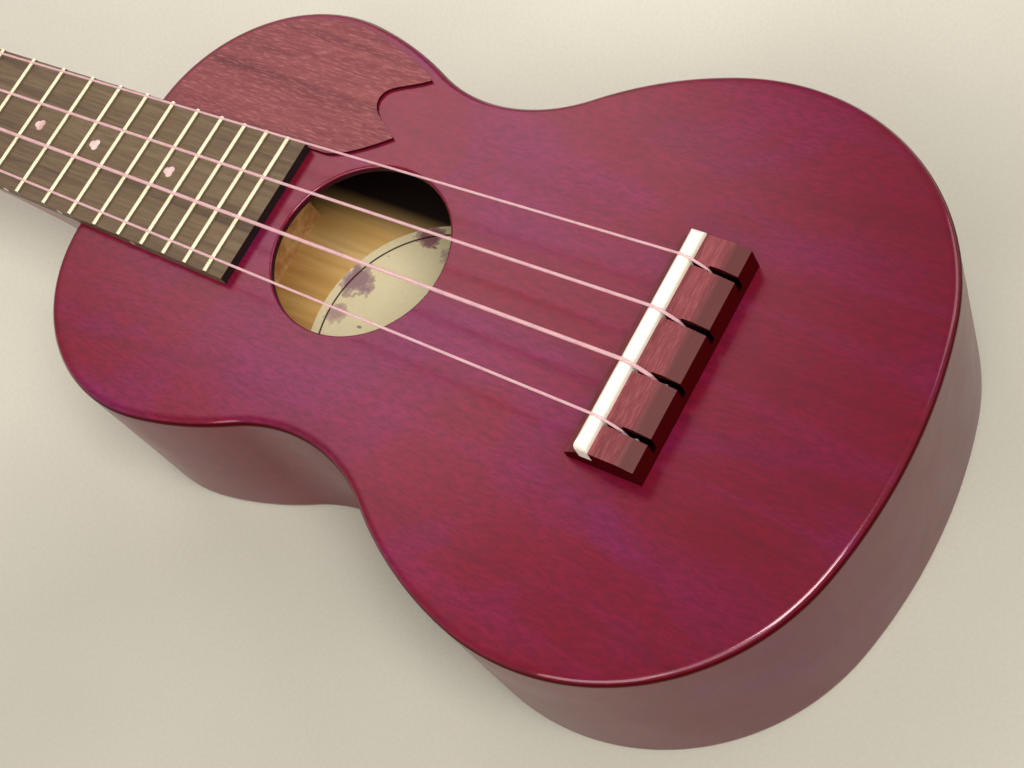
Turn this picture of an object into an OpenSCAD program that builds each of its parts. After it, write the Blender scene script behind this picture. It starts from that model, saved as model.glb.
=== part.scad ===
// Soprano ukulele, built as a luthier builds it: a bent-side body between two plates,
// a carved neck glued to a block, a slotted bridge, and four open-gear tuners.
// Frame: X across the body towards the first string, Y along the strings from saddle to nut,
// Z up out of the soundboard. Modules are drawn with y = 0 on the saddle line and z = 0 on the
// back's outer face; placed() then moves the origin to the middle of the whole length.

/* [Scale and frets] */
// Vibrating string length, from the saddle line to the front of the nut
scale_length = 348; // [340:1:356]
// Number of frets
fret_count = 18; // [16:1:18]
// Fingerboard width at the nut
nut_w = 34; // [33:0.5:36]
// Fingerboard width at the last fret
last_fret_w = 43; // [42:0.5:45]
// Fingerboard thickness
fingerboard_t = 3; // [2.8:0.2:4]
// Distance from the first to the fourth string at the nut
nut_spread = 27.8; // [26:0.2:28]
// Distance from the first to the fourth string at the saddle
saddle_spread = 43.2; // [41:0.2:44]

/* [Body] */
// Body depth, from the back's outer face to the top of the soundboard
body_h = 55; // [50:1:60]
// Thickness of the soundboard and of the back
plate_t = 2; // [1.8:0.1:2.5]
// Thickness of the bent sides
side_t = 2; // [1.8:0.1:2.5]
// Radius of the tail end
tail_r = 136.6; // [125:0.1:150]
// Half angle of the tail end, degrees
tail_a = 13.6; // [12:0.1:15]
// Distance from the saddle line to the centre of the tail arc, towards the neck
tail_cy = 72.9; // [68:0.1:78]
// Radius of the lower bout
lower_r = 61.3; // [59:0.1:64]
// Angle at which the lower bout turns into the shoulder, degrees
lower_a = 14.4; // [12:0.1:17]
// Radius of the shoulder between the lower bout and the waist
shoulder_r = 92.6; // [85:0.1:100]
// Angle at which the shoulder turns into the waist, degrees
shoulder_a = 38.7; // [37:0.1:40]
// Radius of the waist
waist_r = 41.3; // [39:0.1:44]
// Radius of the flank between the waist and the upper bout
flank_r = 98.5; // [92:0.1:105]
// Angle at which the waist turns into the flank, degrees
flank_a = -25.7; // [-27:0.1:-24]
// Radius of the upper bout
upper_r = 44.7; // [43:0.1:46]
// Angle at which the flank turns into the upper bout, degrees
upper_a = -8.7; // [-10:0.1:-7]
// Soundhole radius
hole_r = 24.6; // [23:0.1:26]
// Distance from the saddle line to the soundhole's centre
hole_y = 86.9; // [84:0.1:88]

/* [Bridge] */
// Length of the bridge, across the strings
bridge_l = 59.4; // [56:0.1:64]
// Height of the bridge's tie block
bridge_h = 8; // [7:0.5:9]
// Height of the saddle's crown above the soundboard
saddle_h = 10.8; // [10.2:0.1:11.4]
// Saddle thickness, along the strings
saddle_t = 3.4; // [3:0.1:3.6]

/* [Headstock] */
// Headstock length
head_l = 112; // [110:1:120]
// Headstock thickness with its veneer
head_t = 13; // [12:0.5:14]
// Angle that the headstock leans back, degrees
head_a = 10; // [8:1:12]
// Distance of each tuner post from the centre line
post_x = 16.5; // [16:0.5:18]
// Number of teeth on each tuner's gear
gear_teeth = 14; // [14:1:14]

/* [Hidden] */
STRINGS = ["g", "c", "e", "a"];
$fn = 48;
eps = 0.02;

PURPLE = [0.55, 0.16, 0.30];
PALE_WOOD = [0.80, 0.62, 0.38];
DARK_WOOD = [0.36, 0.28, 0.22];
RED_WOOD = [0.50, 0.22, 0.22];
IVORY = [0.96, 0.94, 0.84];
STEEL = [0.78, 0.78, 0.80];
BRASS = [0.80, 0.66, 0.36];
NYLON = [0.92, 0.80, 0.80];

// ---- Body outline: six tangent arcs on each side of the centre line ----
tail_c = [0, tail_cy];
lower_c = tail_c + (tail_r - lower_r) * [sin(tail_a), -cos(tail_a)];
shoulder_c = lower_c + (lower_r - shoulder_r) * [cos(lower_a), sin(lower_a)];
waist_c = shoulder_c + (shoulder_r + waist_r) * [cos(shoulder_a), sin(shoulder_a)];
flank_c = waist_c - (waist_r + flank_r) * [cos(flank_a), sin(flank_a)];
upper_c = flank_c + (flank_r - upper_r) * [cos(upper_a), sin(upper_a)];
top_y = upper_c.y + upper_r;
arc_step = 4;

function arc(c, r, a0, a1, first = 0) =
    let (n = max(2, ceil(abs(a1 - a0) / arc_step)))
    [for (i = [first:n]) let (a = a0 + (a1 - a0) * i / n) c + r * [cos(a), sin(a)]];

// The treble half of the outline, from tail to neck, moved inwards by inset
function half_outline(inset) = concat(
    arc(tail_c, tail_r - inset, -90, tail_a - 90),
    arc(lower_c, lower_r - inset, tail_a - 90, lower_a, 1),
    arc(shoulder_c, shoulder_r - inset, lower_a, shoulder_a, 1),
    arc(waist_c, waist_r + inset, shoulder_a + 180, flank_a + 180, 1),
    arc(flank_c, flank_r - inset, flank_a, upper_a, 1),
    arc(upper_c, upper_r - inset, upper_a, 90, 1),
    [[0, top_y - inset]]);

function flip(points) = [for (i = [len(points) - 1:-1:0]) [-points[i].x, points[i].y]];
function backwards(points) = [for (i = [len(points) - 1:-1:0]) points[i]];
function inner(points) = [for (i = [1:len(points) - 2]) points[i]];

module plate_2d(inset = 0) {
    half = half_outline(inset);
    polygon(concat(half, inner(flip(half))));
}

// Half a ring between two insets, on the treble side
module half_ring_2d(outside, inside) {
    polygon(concat(half_outline(outside), backwards(half_outline(inside))));
}

// ---- Body ----
inside_z0 = plate_t;
inside_z1 = body_h - plate_t;
block_w = 50;
neck_block_l = 26.5;
tail_block_w = 40;
tail_block_l = 13;
lining_w = 4;
lining_h = 9;

module soundboard() color(PURPLE)
    difference() {
        translate([0, 0, inside_z1]) linear_extrude(plate_t) plate_2d();
        translate([0, hole_y, inside_z1 - 1]) cylinder(r = hole_r, h = plate_t + 2);
    }

module back() color(PURPLE) linear_extrude(plate_t) plate_2d();

module side_treble() color(PURPLE)
    translate([0, 0, inside_z0]) linear_extrude(inside_z1 - inside_z0) half_ring_2d(0, side_t);

module side_bass() mirror([1, 0, 0]) side_treble();

// Two bent strips inside the rim, stopping at the end blocks
module lining(z) color(PALE_WOOD)
    for (side = [0, 1]) mirror([side, 0, 0])
        difference() {
            translate([0, 0, z]) linear_extrude(lining_h) half_ring_2d(side_t, side_t + lining_w);
            translate([-1, -150, z - 1]) cube([tail_block_w / 2 + 1, 140, lining_h + 2]);
            translate([-1, top_y - 60, z - 1]) cube([block_w / 2 + 1, 80, lining_h + 2]);
        }

module top_lining() lining(inside_z1 - lining_h);
module back_lining() lining(inside_z0);

// An end block: the part of the body's inside that a box covers
module block(w, y0, y1) color(PALE_WOOD)
    intersection() {
        translate([0, 0, inside_z0]) linear_extrude(inside_z1 - inside_z0) plate_2d(side_t);
        translate([-w / 2, y0, 0]) cube([w, y1 - y0, body_h]);
    }

module neck_block() block(block_w, top_y - side_t - neck_block_l, top_y);
module tail_block() block(tail_block_w, -100, tail_cy - tail_r + side_t + tail_block_l);

// A bar across the body, with its ends cut down to a point; it stands from z towards up = +1 or -1
brace_w = 5;
brace_h = 6;
module cross_brace(y, half_l, z, up) color(PALE_WOOD)
    translate([0, y + brace_w / 2, z]) rotate([90, 0, 0]) linear_extrude(brace_w)
        polygon([for (p = [[-half_l, 0], [half_l, 0], [half_l, 1.5], [half_l - 14, brace_h],
                           [14 - half_l, brace_h], [-half_l, 1.5]]) [p.x, p.y * up]]);

upper_brace_y = 119;
lower_brace_y = 54;
// Distance along the body and half length of each back brace
back_braces_at = [[-20, 66], [36, 60]];
module upper_brace() cross_brace(upper_brace_y, 53, inside_z1, -1);
module lower_brace() cross_brace(lower_brace_y, 46, inside_z1, -1);
module back_braces()
    for (b = back_braces_at) cross_brace(b[0], b[1], inside_z0, 1);

patch_l = 62;
patch_y0 = -20;
patch_y1 = 12;
patch_t = 1.6;
module bridge_plate() color(PALE_WOOD)
    translate([-patch_l / 2, patch_y0, inside_z1 - patch_t]) cube([patch_l, patch_y1 - patch_y0, patch_t]);

// Three thin bars that fan out below the lower brace, notched over the bridge plate
fan_w = 4;
fan_h = 4;
fan_l = 92;
fan_a = 9;
fan_x = 11;
module fan_braces() color(PALE_WOOD)
    difference() {
        for (i = [-1:1])
            translate([fan_x * i, lower_brace_y - brace_w / 2 - 1, inside_z1 - fan_h])
                rotate([0, 0, fan_a * i]) translate([-fan_w / 2, -fan_l, 0]) cube([fan_w, fan_l, fan_h]);
        translate([-50, patch_y0, inside_z1 - patch_t]) cube([100, patch_y1 - patch_y0, 5]);
    }

label_r = 37.5;
label_t = 0.2;
label_y = hole_y + 2;
module label() color(IVORY) translate([0, label_y, inside_z0]) cylinder(r = label_r, h = label_t, $fn = 96);

// ---- Fingerboard ----
board_z = body_h + fingerboard_t;
board_end_y = 117.4;
function fret_y(n) = scale_length * pow(2, -n / 12);
function board_w(y) =
    nut_w + (last_fret_w - nut_w) * (scale_length - y) / (scale_length - fret_y(fret_count));

marked_frets = [5, 7, 10, 12, 15];
tang_w = 0.6;
tang_h = 1.6;
crown_w = 1.7;
crown_h = 0.95;
marker_lobe_r = 1.05;
marker_lobe_out = 0.75;
marker_shift = [1.2, 1.7];
marker_t = 1;
dot_r = 0.9;
dot_t = 1.2;
function marker_y(n) = (fret_y(n) + fret_y(n - 1)) / 2;

// A small clover: three overlapping round lobes, set a little off the middle of its space
module marker_2d()
    for (a = [90, 210, 330]) rotate(a) translate([marker_lobe_out, 0]) circle(r = marker_lobe_r, $fn = 24);

module markers(extra = 0)
    for (n = marked_frets)
        translate([marker_shift.x, marker_y(n) + marker_shift.y, board_z - marker_t])
            linear_extrude(marker_t + extra) marker_2d();

module dots(extra = 0)
    for (n = marked_frets)
        translate([-board_w(marker_y(n)) / 2 + dot_t, marker_y(n), body_h + fingerboard_t / 2])
            rotate([0, -90, 0]) cylinder(r = dot_r, h = dot_t + extra, $fn = 24);

module fretboard() color(DARK_WOOD)
    difference() {
        translate([0, 0, body_h]) linear_extrude(fingerboard_t)
            polygon([for (p = [[-1, scale_length], [-1, board_end_y], [1, board_end_y], [1, scale_length]])
                     [p.x * board_w(p.y) / 2, p.y]]);
        for (n = [1:fret_count])
            translate([-40, fret_y(n) - tang_w / 2, board_z - tang_h]) cube([80, tang_w, tang_h + 1]);
        markers(1);
        dots(2);
    }

// Half an ellipse over a narrow tang, in the plane across the fret
module fret_2d() {
    polygon([for (a = [0:15:180]) [cos(a) * crown_w / 2, sin(a) * crown_h]]);
    translate([-tang_w / 2, -tang_h]) square([tang_w, tang_h + eps]);
}

module frets() color(STEEL)
    for (n = [1:fret_count])
        translate([-board_w(fret_y(n)) / 2, fret_y(n), board_z]) rotate([90, 0, 90])
            linear_extrude(board_w(fret_y(n))) fret_2d();

module position_markers() color(IVORY) markers();
module side_dots() color(IVORY) dots();

// ---- Strings and nut ----
string_d = [0.72, 1.02, 0.84, 0.66];
// Index 0 is the fourth string, on the bass side
function nut_x(i) = (i / 3 - 0.5) * nut_spread;
function saddle_x(i) = (i / 3 - 0.5) * saddle_spread;
nut_t = 5;
nut_slot_z = board_z + crown_h + 0.15;
nut_h = nut_slot_z + 0.55 - body_h;
nut_break_y = scale_length + nut_t / 2;
nut_back_y = scale_length + nut_t;
slot_slope = 0.26;

module nut() color(IVORY)
    difference() {
        translate([-nut_w / 2, scale_length, body_h]) cube([nut_w, nut_t, nut_h]);
        for (i = [0:3])
            translate([nut_x(i) - string_d[i] / 2 - 0.1, 0, 0]) rotate([90, 0, 90])
                linear_extrude(string_d[i] + 0.2)
                    polygon([[scale_length - 1, nut_slot_z - eps], [nut_break_y, nut_slot_z - eps],
                             [nut_back_y + 1, nut_slot_z - eps - slot_slope * (nut_t / 2 + 1)],
                             [nut_back_y + 1, body_h + nut_h + 1], [scale_length - 1, body_h + nut_h + 1]]);
    }

// ---- Bridge and saddle ----
saddle_y = 1;
saddle_end_r = 3;
saddle_slot_z = body_h + 4;
saddle_z = body_h + saddle_h;
bridge_back_y = -12.6;
bridge_lean = 0.5;
bridge_front_y = 7.4;
crease_y = -7.8;
wide_slot_y = -5.2;
wide_slot_w = 1.6;
wide_slot_z = body_h + 2.6;
slot_clear = 0.1;
narrow_slot_z = body_h + 4.5;
knot_r = 0.7;
knot_y = -8.2;
knot_z = body_h + 3.8;

module bridge() color(RED_WOOD)
    difference() {
        translate([-bridge_l / 2, 0, body_h]) rotate([90, 0, 90]) linear_extrude(bridge_l)
            polygon([[bridge_back_y, 0], [bridge_front_y, 0], [bridge_front_y, 2.4],
                     [saddle_y + saddle_t / 2 + 1.2, 5.2], [saddle_y + saddle_t / 2, 6],
                     [saddle_y - saddle_t / 2, bridge_h], [crease_y, bridge_h],
                     [bridge_back_y + bridge_lean, bridge_h - 1.2]]);
        translate([-bridge_l, saddle_y - saddle_t / 2, saddle_slot_z]) cube([2 * bridge_l, saddle_t, bridge_h]);
        for (i = [0:3]) translate([saddle_x(i), 0, 0]) {
            translate([-string_d[i] / 2 - slot_clear, wide_slot_y - 1, narrow_slot_z])
                cube([string_d[i] + 2 * slot_clear, saddle_y - wide_slot_y + 1, bridge_h]);
            translate([-wide_slot_w / 2, bridge_back_y - 1, wide_slot_z])
                cube([wide_slot_w, wide_slot_y - bridge_back_y + 1, bridge_h]);
        }
    }

// A flat bar with a half-round crown along the strings and round upper corners at its ends
module saddle() color(IVORY)
    intersection() {
        translate([-bridge_l / 2, saddle_y, 0]) rotate([90, 0, 90]) linear_extrude(bridge_l) {
            translate([0, saddle_z - saddle_t / 2]) circle(d = saddle_t);
            translate([-saddle_t / 2, saddle_slot_z])
                square([saddle_t, saddle_z - saddle_t / 2 - saddle_slot_z]);
        }
        translate([0, saddle_y + saddle_t, 0]) rotate([90, 0, 0]) linear_extrude(2 * saddle_t) {
            for (s = [-1, 1])
                translate([s * (bridge_l / 2 - saddle_end_r), saddle_z - saddle_end_r]) circle(r = saddle_end_r);
            translate([-bridge_l / 2, saddle_slot_z]) square([bridge_l, saddle_z - saddle_end_r - saddle_slot_z]);
            translate([saddle_end_r - bridge_l / 2, saddle_slot_z])
                square([bridge_l - 2 * saddle_end_r, saddle_z - saddle_slot_z]);
        }
    }

// ---- Pickguard: a petal of veneer on the treble upper bout, notched towards the waist ----
guard_t = 0.9;
guard_inset = 3.2;
guard_side_x = 0.15;
guard_tips = [[31.8, 95.6], [50.9, 94.6]];
function bezier(a, b, c, d, n = 8, first = 0) =
    [for (i = [first:n]) let (t = i / n, u = 1 - t)
        u * u * u * a + 3 * u * u * t * b + 3 * u * t * t * c + t * t * t * d];
guard_notch = [41.6, 106.4];
guard_corner = [board_w(board_end_y) / 2 + guard_side_x, 112];
function guard_side(y) = [board_w(y) / 2 + guard_side_x, y];

module pickguard() color([0.62, 0.30, 0.32])
    translate([0, 0, body_h]) linear_extrude(guard_t)
        polygon(concat(
            arc(upper_c, upper_r - guard_inset, -18, 84),
            [guard_side(top_y - guard_inset), guard_corner],
            bezier(guard_corner, [22.4, 107], [27.5, 100.5], guard_tips[0], 8, 1),
            bezier(guard_tips[0], [34.6, 99], [36.6, 106.4], guard_notch, 8, 1),
            bezier(guard_notch, [46.2, 106.4], [46.8, 100], guard_tips[1], 8, 1),
            bezier(guard_tips[1], [52.2, 95.6], [56.2, 104.5],
                   upper_c + (upper_r - guard_inset) * [cos(-18), sin(-18)], 6, 1)));

// ---- Neck ----
neck_d0 = 13;
neck_d1 = 15;
heel_start_y = 216;
heel_cap_t = 2;
heel_d = 58;
heel_round_y = 14;
neck_stations = 26;
neck_sides = 24;
neck_square_l = 24;
function ramp(t) = let (s = min(1, max(0, t))) s * s * (3 - 2 * s);

// Depth of the neck below its flat top: a shallow taper, then a quarter-ellipse sweep into the heel
function neck_depth(y) =
    let (shaft = neck_d0 + (neck_d1 - neck_d0) * (nut_back_y - y) / (nut_back_y - heel_start_y),
         s = min(1, max(0, (heel_start_y - y) / (heel_start_y - top_y - heel_round_y))))
    shaft + (heel_d - shaft) * (1 - sqrt(1 - s * s));

// One cross-section: flat on top, a squarer and more tapered D as it deepens into the heel, and
// nearly square again where it meets the headstock
function neck_ring(y) =
    let (w = board_w(y) / 2, d = neck_depth(y), h = (d - neck_d1) / (heel_d - neck_d1),
         n = 1.95 + 1.4 * ramp(h) + 5 * ramp(1 - (nut_back_y - y) / neck_square_l),
         k = 0.34 * ramp(h * 1.2))
    [for (j = [0:neck_sides])
        let (a = 180 * j / neck_sides, cx = pow(abs(cos(a)), 2 / n), sz = pow(sin(a), 2 / n))
        [sign(cos(a)) * w * cx * (1 - k * sz), y, body_h - d * sz]];

// A closed loft through rings of equal length, listed from low y to high y
module loft(rings) {
    n = len(rings[0]);
    m = len(rings);
    polyhedron(
        points = [for (r = rings) each r],
        faces = concat(
            [for (i = [0:m - 2], j = [0:n - 1])
                [i * n + j, (i + 1) * n + j, (i + 1) * n + (j + 1) % n, i * n + (j + 1) % n]],
            [[for (j = [0:n - 1]) j]],
            [[for (j = [n - 1:-1:0]) (m - 1) * n + j]]));
}

// Stations crowd towards the heel, where the depth changes fastest
function station_y(i) =
    let (t = i / neck_stations) top_y + (nut_back_y - top_y) * t * t * (0.55 + 0.45 * t);

// Headstock frame: origin at the back of the nut, Y along the headstock, Z out of its face
module on_head() translate([0, nut_back_y, body_h]) rotate([-head_a, 0, 0]) children();

veneer_t = 1.5;
head_w0 = nut_w / 2;
head_w1 = 26.5;
head_w2 = 28.5;
head_corner_r = 9;
function head_half_w(v) = v < 30 ? head_w0 + (head_w1 - head_w0) * ramp(v / 30)
                                 : head_w1 + (head_w2 - head_w1) * (v - 30) / (head_l - 30);
head_flank = [for (v = [0:3:30]) [head_half_w(v), v]];
head_crown = arc([head_half_w(head_l - head_corner_r) - head_corner_r, head_l - head_corner_r],
                 head_corner_r, 0, 80);
head_half = concat(head_flank, head_crown, [[0, head_l + 2]]);

module head_2d() polygon(concat(head_half, inner(flip(head_half)), [[-head_w0, 0]]));

bushing_r = 4;
pilot_r = 0.9;
pilot_l = 7;
post_v = [34, 74];
// The tuner of string i: 0 and 1 on the bass side, 2 and 3 on the treble side
function tuner_side(i) = i < 2 ? -1 : 1;
function tuner_v(i) = post_v[i == 1 || i == 2 ? 1 : 0];
// Places children on the headstock at string i's post, X pointing out to its button
module at_tuner(i) on_head() translate([tuner_side(i) * post_x, tuner_v(i), 0])
    mirror([tuner_side(i) < 0 ? 1 : 0, 0, 0]) children();

module neck() color(PURPLE) {
    intersection() {
        loft([for (i = [0:neck_stations]) neck_ring(station_y(i))]);
        translate([-50, 0, heel_cap_t]) cube([100, 500, body_h]);
    }
    difference() {
        on_head() translate([0, 0, -head_t]) linear_extrude(head_t - veneer_t) head_2d();
        for (i = [0:3]) at_tuner(i) {
            translate([0, 0, -head_t - 1]) cylinder(r = bushing_r, h = head_t + 2);
            for (p = screw_at) translate([p.x, p.y, -head_t - 1]) cylinder(r = pilot_r, h = pilot_l + 1, $fn = 24);
        }
    }
}

module heel_cap() color(DARK_WOOD)
    intersection() {
        loft([for (i = [0:neck_stations]) neck_ring(station_y(i))]);
        translate([-50, 0, 0]) cube([100, 500, heel_cap_t]);
    }

module headstock_veneer() color(DARK_WOOD)
    difference() {
        on_head() translate([0, 0, -veneer_t]) linear_extrude(veneer_t) head_2d();
        for (i = [0:3]) at_tuner(i) translate([0, 0, -head_t - 1]) cylinder(r = bushing_r, h = head_t + 2);
    }

// ---- Tuners, in the frame of at_tuner ----
post_r = 2.75;
post_clear = 0.05;
post_top = 10;
stub_r = 1.8;
sheet_t = 1;
gear_t = 3.6;
gear_z = -head_t - sheet_t - 0.8 - gear_t;
worm_z = gear_z + gear_t / 2;
gear_pitch_r = 4.5;
worm_pitch_r = 1.9;
shaft_r = 1.35;
worm_root_r = 1.25;
worm_tip_r = 2.3;
worm_lead = 2 * PI * gear_pitch_r / gear_teeth;
worm_turns = 3.5;
ridge_foot = 0.45;
ridge_slope = 0.25;
worm_y = -(gear_pitch_r + worm_pitch_r);
ear_x = 4.2;
ear_t = 1;
ear_w = 5.4;
screw_at = [[-4.6, 6.4], [7.4, 6.4]];
gear_screw_r = 0.8;
gear_screw_l = 3;

module tuner_plate(i) color(STEEL) at_tuner(i)
    difference() {
        union() {
            translate([-6.6, -9.8, -head_t - sheet_t]) cube([16, 18.4, sheet_t]);
            for (x = [-ear_x - ear_t, ear_x])
                translate([x, worm_y - ear_w / 2, worm_z - 2.6]) cube([ear_t, ear_w, -head_t - worm_z + 2.6]);
        }
        translate([0, 0, -head_t - 5]) cylinder(r = post_r + post_clear, h = 10);
        translate([-10, worm_y, worm_z]) rotate([0, 90, 0]) cylinder(r = shaft_r + post_clear, h = 20);
        for (p = screw_at) translate([p.x, p.y, -head_t - 5]) cylinder(r = pilot_r, h = 10, $fn = 24);
    }

module tuner_post(i) color(STEEL) at_tuner(i)
    difference() {
        union() {
            translate([0, 0, gear_z + gear_t]) cylinder(r = post_r, h = post_top - gear_z - gear_t);
            translate([0, 0, gear_z]) cylinder(r = stub_r, h = gear_t + 1);
        }
        translate([0, -10, 7.2]) rotate([-90, 0, 0]) cylinder(r = 0.7, h = 20, $fn = 24);
        translate([0, 0, gear_z - 1]) cylinder(r = gear_screw_r, h = gear_screw_l + 1, $fn = 24);
    }

// One tooth points at the worm, so that the thread's groove there holds it at rest
module tuner_gear(i) color(BRASS) at_tuner(i)
    translate([0, 0, gear_z]) difference() {
        linear_extrude(gear_t)
            polygon([for (k = [0:gear_teeth - 1], p = [[-7.2, 4.0], [-2.9, 4.9], [2.9, 4.9], [7.2, 4.0]])
                     let (a = -90 + 360 * k / gear_teeth + p.x) p.y * [cos(a), sin(a)]]);
        translate([0, 0, -1]) cylinder(r = stub_r, h = gear_t + 2);
    }

module gear_screw(i) color(STEEL) at_tuner(i) {
    difference() {
        translate([0, 0, gear_z - 1]) cylinder(r = 2.6, h = 1);
        translate([-3, -0.35, gear_z - 1.5]) cube([6, 0.7, 1]);
    }
    translate([0, 0, gear_z]) cylinder(r = gear_screw_r, h = gear_screw_l, $fn = 24);
}

// Radius of the worm at a distance x along it and an angle a round it: a trapezoid ridge that
// winds right-handed on either side of the headstock, and fades out at both ends
worm_steps = 12;
worm_l = worm_turns * worm_lead;
worm_end = 0.3;
worm_fade = 0.6;
shaft_start_x = -5.8;
shaft_end_x = 15.5;
function worm_r(x, a, hand) =
    let (turn = x / worm_lead + hand * a / 360,
         off = abs(turn - round(turn)) * worm_lead,
         ridge = min(1, max(0, (ridge_foot - off) / ridge_slope)),
         fade = min(1, max(0, (worm_l / 2 - worm_end - abs(x)) / worm_fade)))
    worm_root_r + (worm_tip_r - worm_root_r) * ridge * fade;

module worm_shaft(i) color(STEEL) at_tuner(i)
    translate([0, worm_y, worm_z]) {
        rotate([0, 0, -90]) loft([for (k = [0:worm_turns * worm_steps])
            let (x = -worm_l / 2 + worm_lead * k / worm_steps)
            [for (j = [0:worm_steps - 1])
                let (a = -360 * j / worm_steps, r = worm_r(x, a, tuner_side(i)))
                [r * cos(a), x, r * sin(a)]]]);
        for (span = [[shaft_start_x, (worm_end - worm_l) / 2], [(worm_l - worm_end) / 2, shaft_end_x]])
            translate([span[0], 0, 0]) rotate([0, 90, 0]) cylinder(r = shaft_r, h = span[1] - span[0]);
    }

button_x = 14.2;
button_l = 13;
button_w = 16;
button_t = 6.4;
module tuner_button(i) color(IVORY) at_tuner(i)
    translate([0, worm_y, worm_z]) difference() {
        union() {
            translate([button_x - 2.2, 0, 0]) rotate([0, 90, 0]) cylinder(r = 2.5, h = 3);
            translate([button_x + button_l / 2, 0, -button_t / 2]) linear_extrude(button_t) {
                for (s = [-1, 1]) translate([0, s * (button_w - button_l) / 2]) circle(d = button_l);
                translate([-button_l / 2, (button_l - button_w) / 2]) square([button_l, button_w - button_l]);
            }
        }
        rotate([0, 90, 0]) cylinder(r = shaft_r, h = shaft_end_x);
    }

module tuner_bushings() color(STEEL)
    for (i = [0:3]) at_tuner(i) difference() {
        union() {
            cylinder(r = 5.4, h = 0.8);
            translate([0, 0, -6]) cylinder(r = bushing_r, h = 6);
        }
        translate([0, 0, -7]) cylinder(r = post_r + post_clear, h = 9);
    }

module tuner_screws() color(STEEL)
    for (i = [0:3], p = screw_at) at_tuner(i) translate([p.x, p.y, -head_t]) {
        translate([0, 0, -sheet_t]) cylinder(r = pilot_r, h = pilot_l + sheet_t, $fn = 24);
        difference() {
            translate([0, 0, -sheet_t - 0.9]) cylinder(r = 1.7, h = 0.9, $fn = 24);
            translate([-2, -0.25, -sheet_t - 1.4]) cube([4, 0.5, 0.9]);
        }
    }

// ---- Strings: knotted in the bridge, over the saddle, through the nut, to the post ----
winding_turns = 4;
winding_z = 2.4;
string_gap = 0.3;
string_sides = 8;
// A point of the headstock frame in the part's own frame
function head_point(p) =
    [p.x, nut_back_y + p.y * cos(head_a) + p.z * sin(head_a), body_h - p.y * sin(head_a) + p.z * cos(head_a)];
function string_route(i) =
    let (r = string_d[i] / 2, nz = nut_slot_z + r, run = nut_t / 2 + 0.6)
    [[saddle_x(i), knot_y, knot_z],
     [saddle_x(i), saddle_y - saddle_t / 2 - 0.1, saddle_z - 0.45 + r],
     [saddle_x(i), saddle_y - 0.4, saddle_z + r + 0.05],
     [saddle_x(i), saddle_y + 0.4, saddle_z + r + 0.05],
     [nut_x(i), nut_break_y, nz],
     [nut_x(i), nut_break_y + run, nz - run * slot_slope * 0.85],
     head_point([tuner_side(i) * (post_x - post_r - r - string_gap), tuner_v(i), winding_z - r - 0.2])];
function unit(v) = v / norm(v);
function string_ring(p, t, r) =
    let (side = unit(cross(t, [0, 0, 1])), up = cross(side, t))
    [for (j = [0:string_sides - 1])
        let (a = -360 * j / string_sides) p + r * (cos(a) * side + sin(a) * up)];

module string(i) color(NYLON) {
    route = string_route(i);
    last = len(route) - 1;
    loft([for (k = [0:last])
        string_ring(route[k], unit(route[min(last, k + 1)] - route[max(0, k - 1)]), string_d[i] / 2)]);
    translate([saddle_x(i), knot_y - 0.5, knot_z]) sphere(r = knot_r, $fn = 24);
}

// The turns on the post: a sleeve of touching rings
module winding(i) color(NYLON) at_tuner(i) {
    r = string_d[i] / 2;
    translate([0, 0, winding_z]) rotate_extrude() {
        translate([post_r, 0]) square([r, winding_turns * 2 * r]);
        for (k = [0:winding_turns - 1]) translate([post_r + r, (2 * k + 1) * r]) circle(r = r, $fn = 24);
    }
}

// Moves the origin from under the saddle line to the middle of the length
head_tip = head_point([0, head_l + 2, 0]);
module placed() translate([0, -(tail_cy - tail_r + head_tip.y) / 2, 0]) children();

placed() soundboard();
placed() back();
placed() side_bass();
placed() side_treble();
placed() top_lining();
placed() back_lining();
placed() neck_block();
placed() tail_block();
placed() upper_brace();
placed() lower_brace();
placed() fan_braces();
placed() back_braces();
placed() bridge_plate();
placed() label();
placed() neck();
placed() heel_cap();
placed() headstock_veneer();
placed() fretboard();
placed() frets();
placed() position_markers();
placed() side_dots();
placed() nut();
placed() bridge();
placed() saddle();
placed() pickguard();
placed() tuner_bushings();
placed() tuner_screws();
for (i = [0:3]) {
    s = STRINGS[i];
    placed() string(i);
    placed() winding(i);
    placed() tuner_plate(i);
    placed() tuner_post(i);
    placed() tuner_gear(i);
    placed() gear_screw(i);
    placed() worm_shaft(i);
    placed() tuner_button(i);
}
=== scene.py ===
"""Soprano ukulele: the looks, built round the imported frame. Lengths are in millimetres in the
instrument's own frame (y = 0 on the saddle line, z = 0 on the back) until at() places them."""
import math

import bmesh
import bpy
from mathutils import Matrix, Vector


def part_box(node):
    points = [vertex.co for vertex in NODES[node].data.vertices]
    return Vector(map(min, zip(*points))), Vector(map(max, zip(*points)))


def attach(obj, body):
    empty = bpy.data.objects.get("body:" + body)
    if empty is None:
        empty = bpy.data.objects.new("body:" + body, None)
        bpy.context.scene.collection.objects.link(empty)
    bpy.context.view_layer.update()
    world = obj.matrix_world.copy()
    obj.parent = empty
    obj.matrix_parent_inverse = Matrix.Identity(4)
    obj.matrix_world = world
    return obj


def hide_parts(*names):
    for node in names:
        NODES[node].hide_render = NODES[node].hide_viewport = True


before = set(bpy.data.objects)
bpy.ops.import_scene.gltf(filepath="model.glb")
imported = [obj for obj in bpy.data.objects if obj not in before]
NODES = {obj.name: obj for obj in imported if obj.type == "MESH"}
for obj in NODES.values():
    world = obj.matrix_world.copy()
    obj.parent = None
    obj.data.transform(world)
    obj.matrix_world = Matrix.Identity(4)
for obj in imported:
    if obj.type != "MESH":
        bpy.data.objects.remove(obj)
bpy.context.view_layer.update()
MM = 0.001
STRINGS = ["g", "c", "e", "a"]

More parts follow.
